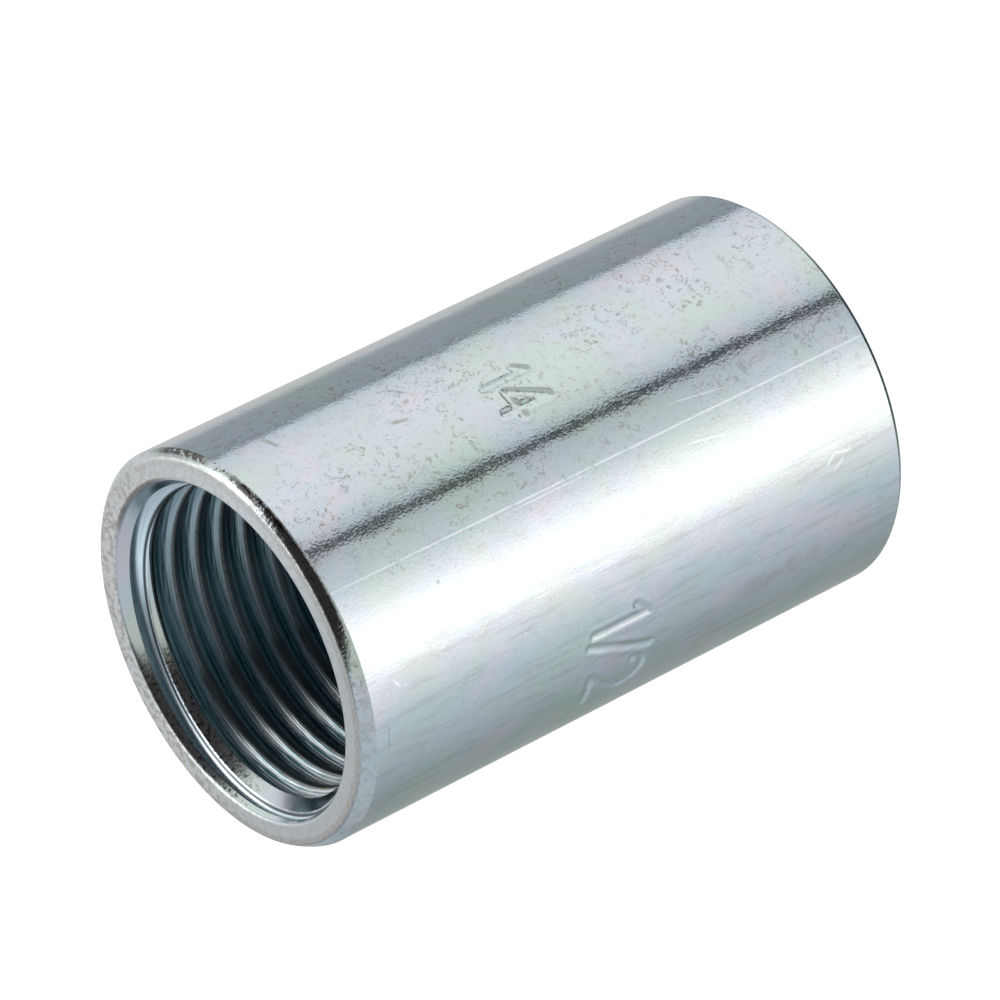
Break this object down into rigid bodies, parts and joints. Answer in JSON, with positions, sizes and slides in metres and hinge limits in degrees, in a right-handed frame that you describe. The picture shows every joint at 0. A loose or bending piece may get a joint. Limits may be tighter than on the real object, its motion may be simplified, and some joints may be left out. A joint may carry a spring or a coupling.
{
  "type": "rigid conduit coupling",
  "caption": "Straight zinc-plated steel sleeve, countersunk at both mouths and threaded right through, that joins two ends of rigid conduit.",
  "frame": {"origin": "centre of the lower end face, on the bore axis", "axes": "+Z along the bore axis, up; the sleeve stands on one end"},
  "size_m": [0.0256, 0.0256, 0.0418],
  "materials": {
    "zinc_plate": "bright zinc plate with a clear blue passivation, speckled and stained in places"
  },
  "bodies": {
    "root": {"coupling_sleeve": "zinc_plate"}
  },
  "joints": []
}
